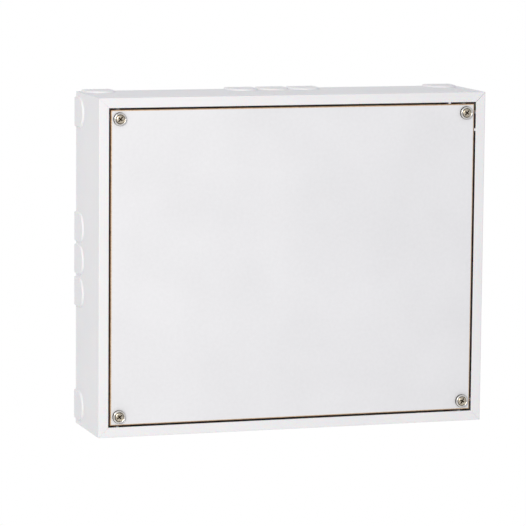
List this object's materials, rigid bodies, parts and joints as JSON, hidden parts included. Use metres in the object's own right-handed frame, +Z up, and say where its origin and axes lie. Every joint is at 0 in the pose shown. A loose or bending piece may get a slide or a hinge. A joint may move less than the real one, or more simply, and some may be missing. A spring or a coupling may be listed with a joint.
{
  "type": "residential load center enclosure",
  "caption": "Shallow wall box of mitred white mouldings with side knock-outs, closed by a screwed blank board over a rail of modular switches.",
  "frame": {"origin": "middle of the back plate's rear face, on the wall", "axes": "+X to the right and +Z up as seen from the front, +Y into the wall"},
  "size_m": [0.3632, 0.0829, 0.3032],
  "materials": {
    "white_plastic": "fine-grained satin moulding",
    "melamine_board": "white melamine face over brown fibreboard",
    "plate_grey": "matt insulating sheet",
    "zinc": "bright zinc plating",
    "nickel": "nickel plating, polished",
    "yellow_zinc": "yellow zinc plating",
    "brass": "drawn and machined",
    "copper": "bare copper strip",
    "device_grey": "fine-grained moulding",
    "grey_plastic": "satin moulding",
    "toggle_black": "satin moulding",
    "toggle_blue": "satin moulding"
  },
  "bodies": {
    "enclosure": {"frame_top": "white_plastic", "frame_right": "white_plastic", "frame_bottom": "white_plastic", "frame_left": "white_plastic", "back_plate": "plate_grey", "din_rail": "zinc", "rail_screw_left": "zinc", "rail_screw_right": "zinc", "comb_busbar": "copper", "comb_busbar_cover": "grey_plastic", "neutral_bar": "brass", "neutral_bar_holder": "grey_plastic", "earth_bar": "brass", "earth_bar_holder": "grey_plastic", "corner_bracket_tl": "white_plastic", "threaded_insert_tl": "brass", "corner_bracket_tr": "white_plastic", "threaded_insert_tr": "brass", "corner_bracket_bl": "white_plastic", "threaded_insert_bl": "brass", "corner_bracket_br": "white_plastic", "threaded_insert_br": "brass", "main_switch_body": "device_grey", "breaker_1_body": "device_grey", "breaker_2_body": "device_grey", "breaker_3_body": "device_grey", "breaker_4_body": "device_grey", "breaker_5_body": "device_grey", "breaker_6_body": "device_grey"},
    "cover": {"cover_board": "melamine_board"},
    "cup_washer_tl": {"cup_washer_tl": "nickel"},
    "cover_screw_tl": {"cover_screw_tl": "yellow_zinc"},
    "cup_washer_tr": {"cup_washer_tr": "nickel"},
    "cover_screw_tr": {"cover_screw_tr": "yellow_zinc"},
    "cup_washer_bl": {"cup_washer_bl": "nickel"},
    "cover_screw_bl": {"cover_screw_bl": "yellow_zinc"},
    "cup_washer_br": {"cup_washer_br": "nickel"},
    "cover_screw_br": {"cover_screw_br": "yellow_zinc"},
    "main_switch_toggle": {"main_switch_toggle": "toggle_blue"},
    "main_switch_rail_clip": {"main_switch_rail_clip": "grey_plastic"},
    "breaker_1_toggle": {"breaker_1_toggle": "toggle_black"},
    "breaker_1_rail_clip": {"breaker_1_rail_clip": "grey_plastic"},
    "breaker_2_toggle": {"breaker_2_toggle": "toggle_black"},
    "breaker_2_rail_clip": {"breaker_2_rail_clip": "grey_plastic"},
    "breaker_3_toggle": {"breaker_3_toggle": "toggle_black"},
    "breaker_3_rail_clip": {"breaker_3_rail_clip": "grey_plastic"},
    "breaker_4_toggle": {"breaker_4_toggle": "toggle_black"},
    "breaker_4_rail_clip": {"breaker_4_rail_clip": "grey_plastic"},
    "breaker_5_toggle": {"breaker_5_toggle": "toggle_black"},
    "breaker_5_rail_clip": {"breaker_5_rail_clip": "grey_plastic"},
    "breaker_6_toggle": {"breaker_6_toggle": "toggle_black"},
    "breaker_6_rail_clip": {"breaker_6_rail_clip": "grey_plastic"}
  },
  "joints": [
    {"name": "cover_lift_off", "type": "slide", "parent": "enclosure", "child": "cover", "axis": [0, -1, 0], "range_m": [0, 0.12]},
    {"name": "cover_screw_tl_back_out", "type": "slide", "parent": "cover", "child": "cup_washer_tl", "axis": [0, -1, 0], "range_m": [0, 0.0126]},
    {"name": "cover_screw_tl_turn", "type": "hinge", "parent": "cup_washer_tl", "child": "cover_screw_tl", "pos_m": [-0.1615, -0.08, 0.1315], "axis": [0, -1, 0], "range_deg": [0, 6480]},
    {"name": "cover_screw_tr_back_out", "type": "slide", "parent": "cover", "child": "cup_washer_tr", "axis": [0, -1, 0], "range_m": [0, 0.0126]},
    {"name": "cover_screw_tr_turn", "type": "hinge", "parent": "cup_washer_tr", "child": "cover_screw_tr", "pos_m": [0.1615, -0.08, 0.1315], "axis": [0, -1, 0], "range_deg": [0, 6480]},
    {"name": "cover_screw_bl_back_out", "type": "slide", "parent": "cover", "child": "cup_washer_bl", "axis": [0, -1, 0], "range_m": [0, 0.0126]},
    {"name": "cover_screw_bl_turn", "type": "hinge", "parent": "cup_washer_bl", "child": "cover_screw_bl", "pos_m": [-0.1615, -0.08, -0.1315], "axis": [0, -1, 0], "range_deg": [0, 6480]},
    {"name": "cover_screw_br_back_out", "type": "slide", "parent": "cover", "child": "cup_washer_br", "axis": [0, -1, 0], "range_m": [0, 0.0126]},
    {"name": "cover_screw_br_turn", "type": "hinge", "parent": "cup_washer_br", "child": "cover_screw_br", "pos_m": [0.1615, -0.08, -0.1315], "axis": [0, -1, 0], "range_deg": [0, 6480]},
    {"name": "main_switch_throw", "type": "hinge", "parent": "enclosure", "child": "main_switch_toggle", "pos_m": [-0.054, -0.05754, 0], "axis": [1, 0, 0], "range_deg": [0, 76]},
    {"name": "main_switch_clip_pull", "type": "slide", "parent": "enclosure", "child": "main_switch_rail_clip", "axis": [0, 0, -1], "range_m": [0, 0.0036], "stiffness_N_per_m": 300, "springref_m": -0.002},
    {"name": "breaker_1_throw", "type": "hinge", "parent": "enclosure", "child": "breaker_1_toggle", "pos_m": [-0.027, -0.05754, 0], "axis": [1, 0, 0], "range_deg": [0, 76]},
    {"name": "breaker_1_clip_pull", "type": "slide", "parent": "enclosure", "child": "breaker_1_rail_clip", "axis": [0, 0, -1], "range_m": [0, 0.0036], "stiffness_N_per_m": 300, "springref_m": -0.002},
    {"name": "breaker_2_throw", "type": "hinge", "parent": "enclosure", "child": "breaker_2_toggle", "pos_m": [-0.009, -0.05754, 0], "axis": [1, 0, 0], "range_deg": [0, 76]},
    {"name": "breaker_2_clip_pull", "type": "slide", "parent": "enclosure", "child": "breaker_2_rail_clip", "axis": [0, 0, -1], "range_m": [0, 0.0036], "stiffness_N_per_m": 300, "springref_m": -0.002},
    {"name": "breaker_3_throw", "type": "hinge", "parent": "enclosure", "child": "breaker_3_toggle", "pos_m": [0.009, -0.05754, 0], "axis": [1, 0, 0], "range_deg": [0, 76]},
    {"name": "breaker_3_clip_pull", "type": "slide", "parent": "enclosure", "child": "breaker_3_rail_clip", "axis": [0, 0, -1], "range_m": [0, 0.0036], "stiffness_N_per_m": 300, "springref_m": -0.002},
    {"name": "breaker_4_throw", "type": "hinge", "parent": "enclosure", "child": "breaker_4_toggle", "pos_m": [0.027, -0.05754, 0], "axis": [1, 0, 0], "range_deg": [0, 76]},
    {"name": "breaker_4_clip_pull", "type": "slide", "parent": "enclosure", "child": "breaker_4_rail_clip", "axis": [0, 0, -1], "range_m": [0, 0.0036], "stiffness_N_per_m": 300, "springref_m": -0.002},
    {"name": "breaker_5_throw", "type": "hinge", "parent": "enclosure", "child": "breaker_5_toggle", "pos_m": [0.045, -0.05754, 0], "axis": [1, 0, 0], "range_deg": [0, 76]},
    {"name": "breaker_5_clip_pull", "type": "slide", "parent": "enclosure", "child": "breaker_5_rail_clip", "axis": [0, 0, -1], "range_m": [0, 0.0036], "stiffness_N_per_m": 300, "springref_m": -0.002},
    {"name": "breaker_6_throw", "type": "hinge", "parent": "enclosure", "child": "breaker_6_toggle", "pos_m": [0.063, -0.05754, 0], "axis": [1, 0, 0], "range_deg": [0, 76]},
    {"name": "breaker_6_clip_pull", "type": "slide", "parent": "enclosure", "child": "breaker_6_rail_clip", "axis": [0, 0, -1], "range_m": [0, 0.0036], "stiffness_N_per_m": 300, "springref_m": -0.002}
  ],
  "couplings": [
    {"joint": "cover_screw_tl_turn", "follows": "cover_screw_tl_back_out", "rad_per_m": 8976},
    {"joint": "cover_screw_tr_turn", "follows": "cover_screw_tr_back_out", "rad_per_m": 8976},
    {"joint": "cover_screw_bl_turn", "follows": "cover_screw_bl_back_out", "rad_per_m": 8976},
    {"joint": "cover_screw_br_turn", "follows": "cover_screw_br_back_out", "rad_per_m": 8976}
  ]
}
